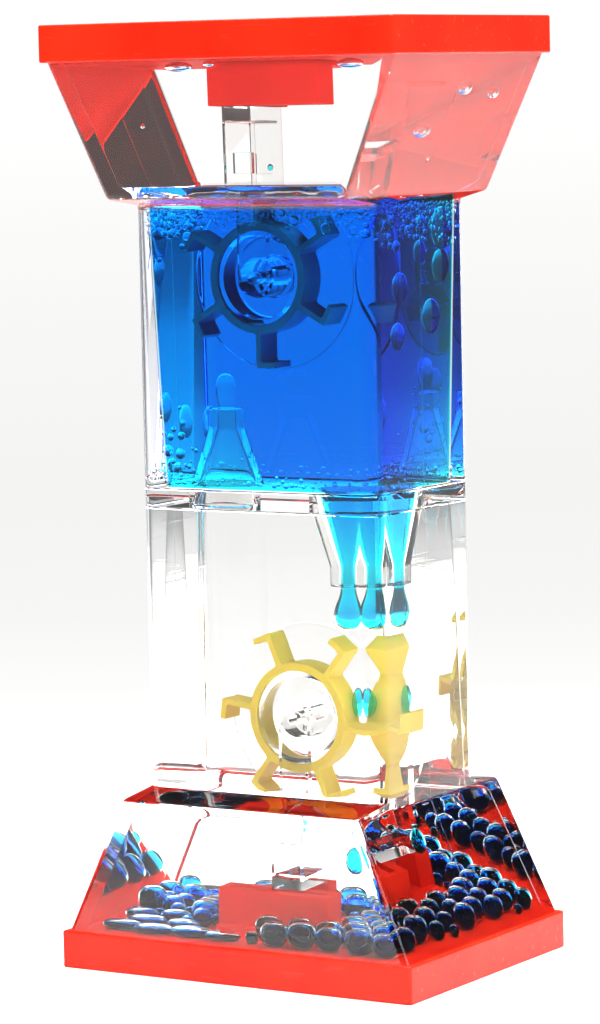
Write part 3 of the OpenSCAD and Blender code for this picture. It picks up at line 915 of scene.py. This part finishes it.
def droplets_in_water():
    """Oil droplets caught under the water's surface, along its edges and in its corners."""
    dice = Dice(4242)
    parts = []
    placed = []

    def inside(z):
        u = (z - PHI) / (H - 27.4 - PHI)
        return (IN_W + TAPER * u) / 2 - 0.1, (IN_D + TAPER * u) / 2 - 0.1

    def put(x, y, z, r, crowd=1.0, flat=0.0):
        w2, d2 = inside(z)
        x = max(-w2 + r, min(w2 - r, x))
        y = max(-d2 + r, min(d2 - r, y))
        if z + r > WATER_TOP - 0.9 or z - r < PHI + 0.3:
            return
        if math.hypot(x + WX, z - (H - WZ)) < 15.2 + r and -5.4 - r < y < 5.4 + r:
            return
        if abs(x + WX) < 3 + r and abs(y) < 7.3 + r:
            return
        if math.hypot(x + NX, y - NY) < 6.7 + r and z < PHI + 19:
            return
        if all((x - a) ** 2 + (y - b) ** 2 + (z - c) ** 2 > ((r + q) * crowd) ** 2 for a, b, c, q in placed):
            placed.append((x, y, z, r))
            rx = ry = r
            if flat and abs(x) > w2 - r - 0.05:
                rx, x = r * flat, math.copysign(w2 - r * flat, x)
            elif flat:
                ry, y = r * flat, math.copysign(d2 - r * flat, y)
            parts.append(ellipsoid((x, y, z), (rx, ry, r), 9 if r < 1 else 14, 14 if r < 1 else 26))
    w2, d2 = inside(WATER_TOP)
    # big ones in the upper left and right corners
    for x, y, z, r in ((-w2, -d2, 113.6, 2.9), (-w2, -5.5, 116.4, 2.2), (-w2, -9, 108.6, 1.8), (-w2, -2.0, 111.0, 1.7),
                       (-w2, 4.0, 115.0, 2.4), (w2, 3.6, 116.0, 2.5), (w2, 8.5, 114.6, 2.7), (w2, -2.0, 116.8, 2.1),
                       (w2, -7.0, 117.0, 1.8), (w2, 8.0, 108.8, 2.1), (w2, 1.5, 111.2, 1.5), (w2, -4.4, 106.0, 1.9),
                       (w2, -5.2, 98.6, 1.7), (w2, 5.0, 101.2, 2.2), (-w2, -6.5, 101.5, 1.5), (-w2, 2.5, 103.4, 1.6),
                       (-w2, -8, 81.0, 2.6), (-w2, -3.0, 85.0, 2.1), (-w2, -9.5, 87.5, 1.9), (-w2, 3.0, 80.0, 2.4),
                       (-w2, -4.5, 79.2, 1.9), (-w2, 8.0, 84.0, 2.2), (-w2, -0.5, 89.5, 1.4), (-w2, -9.8, 77.4, 1.5)):
        put(x, y, z, r * 1.25, 0.62, 0.13)
    for k in range(2600):
        t = dice()
        z = WATER_TOP - 1.2 - 7 * t * t * t * dice(0.2, 1)
        r = dice(0.14, 0.5) if k % 6 else dice(0.5, 0.95)
        side = dice()
        if side < 0.42:
            z = WATER_TOP - 1.2 - r - dice(0, 2.6) * dice()
            put(dice(-w2, w2), -d2, z, r)
        elif side < 0.58:
            put(dice(-w2, w2), d2, z, r)
        elif side < 0.82:
            put(w2, dice(-d2, d2), z, r)
        else:
            put(-w2, dice(-d2, d2), z, r)
    for k in range(260):
        # along the floor of the chamber and low in the left corner
        if k % 3:
            put(dice(-w2, w2), (-d2, d2)[k % 2], PHI + 0.9 + dice(0, 1.6) * dice(), dice(0.15, 0.5))
        else:
            put(-w2, dice(-d2, 2), PHI + 1 + dice(0, 15) * dice(), dice(0.2, 1.0))
    v, f = joined(parts)
    mesh_object("oil_droplets_in_water", v, f, [OIL_DROP], weighted=False, angle=60)


droplets_in_water()


def bubbles():
    parts = []
    for c, r in (((-8.6, -18.0, 140.3), (2.5, 1.7, 0.75)), ((22.0, -18.3, 140.2), (2.3, 1.6, 0.8)),
                 ((-3.0, -18.3, 140.6), (1.0, 0.9, 0.45)), ((25.2, 4.9, 137.0), (1.2, 2.1, 1.3)),
                 ((24.4, 14.6, 136.2), (0.9, 1.7, 1.0)), ((21.6, -3.0, 130.8), (1.0, 2.6, 1.2)),
                 ((19.5, 2.0, 126.5), (0.4, 0.5, 0.5)), ((-17.2, -14.0, 131.5), (0.4, 0.4, 0.4))):
        parts.append(ellipsoid(c, r, 12, 22))
    v, f = joined(parts)
    mesh_object("air_bubbles", v, f, [AIR], weighted=False, angle=60)


bubbles()


# ------------------------------------------------------------------ stage, light and camera

def floor():
    """A pale table top. It stops short behind the object, where the backdrop takes over."""
    m, nt, out = material("stage_floor")
    p = add(nt, "ShaderNodeBsdfPrincipled")
    n = noise_node(nt, 3, 2)
    nt.links.new(mix_colour(nt, n.outputs["Fac"], (0.87, 0.86, 0.83), (0.90, 0.89, 0.865)), p.inputs["Base Color"])
    p.inputs["Roughness"].default_value = 0.5
    nt.links.new(p.outputs[0], out.inputs["Surface"])
    me = bpy.data.meshes.new("stage_floor")
    verts = []
    for i in range(144):
        a = 2 * math.pi * i / 144
        toward = min(1.0, max(0.0, (math.cos(a - math.radians(121.9)) - 0.885) / 0.05))
        r = 0.6 - 0.34 * toward
        verts.append((r * math.cos(a), r * math.sin(a), 0))
    me.from_pydata(verts, [], [tuple(range(144))])
    me.materials.append(m)
    ob = bpy.data.objects.new("stage_floor", me)
    scene.collection.objects.link(ob)


floor()


def world():
    """A white backdrop behind the object, low and wide, in a dim room."""
    w = bpy.data.worlds.new("studio")
    scene.world = w
    w.use_nodes = True
    nt = w.node_tree
    nt.nodes.clear()
    out = nt.nodes.new("ShaderNodeOutputWorld")
    bg = nt.nodes.new("ShaderNodeBackground")
    tc = nt.nodes.new("ShaderNodeTexCoord")
    sep = nt.nodes.new("ShaderNodeSeparateXYZ")
    nt.links.new(tc.outputs["Generated"], sep.inputs[0])
    z = sep.outputs["Z"]

    def toward(v):
        dot = nt.nodes.new("ShaderNodeVectorMath")
        dot.operation = "DOT_PRODUCT"
        dot.inputs[1].default_value = Vector(v).normalized()
        nt.links.new(tc.outputs["Generated"], dot.inputs[0])
        return dot.outputs["Value"]

    def step(src, a, b, lo=0.0, hi=1.0):
        n = nt.nodes.new("ShaderNodeMapRange")
        n.interpolation_type = "SMOOTHSTEP"
        for k, val in (("From Min", a), ("From Max", b), ("To Min", lo), ("To Max", hi)):
            n.inputs[k].default_value = val
        nt.links.new(src, n.inputs["Value"])
        return n.outputs["Result"]

    def op(kind, a, b):
        n = nt.nodes.new("ShaderNodeMath")
        n.operation = kind
        for i, v in enumerate((a, b)):
            if isinstance(v, (int, float)):
                n.inputs[i].default_value = v
            else:
                nt.links.new(v, n.inputs[i])
        return n.outputs[0]

    def by_height(stops):
        ramp = nt.nodes.new("ShaderNodeValToRGB")
        cr = ramp.color_ramp
        while len(cr.elements) < len(stops):
            cr.elements.new(0.5)
        for e, (h, v) in zip(cr.elements, stops):
            e.position = (h + 0.4) / 0.8
            e.color = (v, v * 0.998, v * 0.994, 1)
        nt.links.new(op("DIVIDE", op("ADD", z, 0.4), 0.8), ramp.inputs["Fac"])
        return ramp.outputs["Color"]
    # backdrop brightness by height above the horizon, and the same for the dim room and its far floor
    pale = by_height(((-0.30, 1.30), (-0.160, 1.16), (-0.142, 0.99), (-0.122, 0.925), (-0.094, 0.905), (-0.060, 0.93),
             (-0.030, 0.965), (-0.006, 1.02), (0.06, 1.08)))
    room = by_height(((-0.30, 1.0), (-0.130, 0.95), (-0.112, 0.82), (-0.097, 0.70), (-0.089, 0.32), (-0.072, 0.16),
                      (-0.03, 0.105), (0.10, 0.05)))
    back = step(toward((-0.53, 0.848, 0)), 0.895, 0.94)
    low = step(z, 0.10, 0.30, 1.0, 0.0)
    side = op("MULTIPLY", step(toward((0.75, 0.66, 0)), 0.2, 0.9, 0.0, 0.13), step(z, -0.05, 0.14, 1.0, 0.0))
    ceiling = step(z, 0.55, 0.9, 0.0, 0.12)
    dim = op("ADD", op("ADD", side, ceiling), room)
    seen = nt.nodes.new("ShaderNodeLightPath").outputs["Is Camera Ray"]
    mixer = nt.nodes.new("ShaderNodeMix")
    mixer.data_type = "RGBA"
    nt.links.new(op("MAXIMUM", op("MULTIPLY", back, low), seen), mixer.inputs[0])
    nt.links.new(dim, mixer.inputs[6])
    nt.links.new(pale, mixer.inputs[7])
    nt.links.new(mixer.outputs[2], bg.inputs["Color"])
    bg.inputs["Strength"].default_value = 1.0
    nt.links.new(bg.outputs[0], out.inputs["Surface"])


world()


def softbox(name, loc, target, size, watts):
    li = bpy.data.lights.new(name, "AREA")
    li.shape = "RECTANGLE"
    li.size, li.size_y = size
    li.energy = watts
    ob = bpy.data.objects.new(name, li)
    ob.location = loc
    ob.rotation_mode = "QUATERNION"
    ob.rotation_quaternion = (Vector(target) - Vector(loc)).to_track_quat("-Z", "Y")
    scene.collection.objects.link(ob)
    return ob


softbox("overhead", (0.03, 0.03, 0.54), (0, 0, 0), (0.5, 0.5), 13.8)
softbox("front", (-0.08, -0.46, 0.52), (0, 0, 0.07), (0.42, 0.3), 1.9)
softbox("side", (1.05, -0.25, 0.6), (0, 0, 0.07), (0.6, 0.7), 5.0)


def camera():
    yaw, pitch, roll = (math.radians(a) for a in (31.94, 5.78, -1.24))
    back = Vector((math.sin(yaw) * math.cos(pitch), -math.cos(yaw) * math.cos(pitch), math.sin(pitch)))
    right = Vector((math.cos(yaw), math.sin(yaw), 0))
    up = back.cross(right)
    r = math.cos(roll) * right + math.sin(roll) * up
    u = -math.sin(roll) * right + math.cos(roll) * up
    cam = bpy.data.cameras.new("camera")
    cam.sensor_width = 36.0
    cam.lens = 36.0 * 4203.78 / 1024
    cam.clip_start, cam.clip_end = 0.01, 50
    ob = bpy.data.objects.new("camera", cam)
    place_at = Vector((0, 0, 70.6)) + r * -0.91 + back * 657.14
    m = Matrix(((r.x, u.x, back.x, place_at.x * MM), (r.y, u.y, back.y, place_at.y * MM),
                (r.z, u.z, back.z, place_at.z * MM), (0, 0, 0, 1)))
    ob.matrix_world = m
    scene.collection.objects.link(ob)
    scene.camera = ob


camera()
scene.view_settings.view_transform = "Standard"
scene.view_settings.look = "None"
c = scene.cycles
c.max_bounces = 40
c.transmission_bounces = 36
c.glossy_bounces = 24
c.diffuse_bounces = 5
c.transparent_max_bounces = 24
c.volume_bounces = 0
c.caustics_refractive = True
c.caustics_reflective = True
c.blur_glossy = 0.3
c.sample_clamp_indirect = 12.0
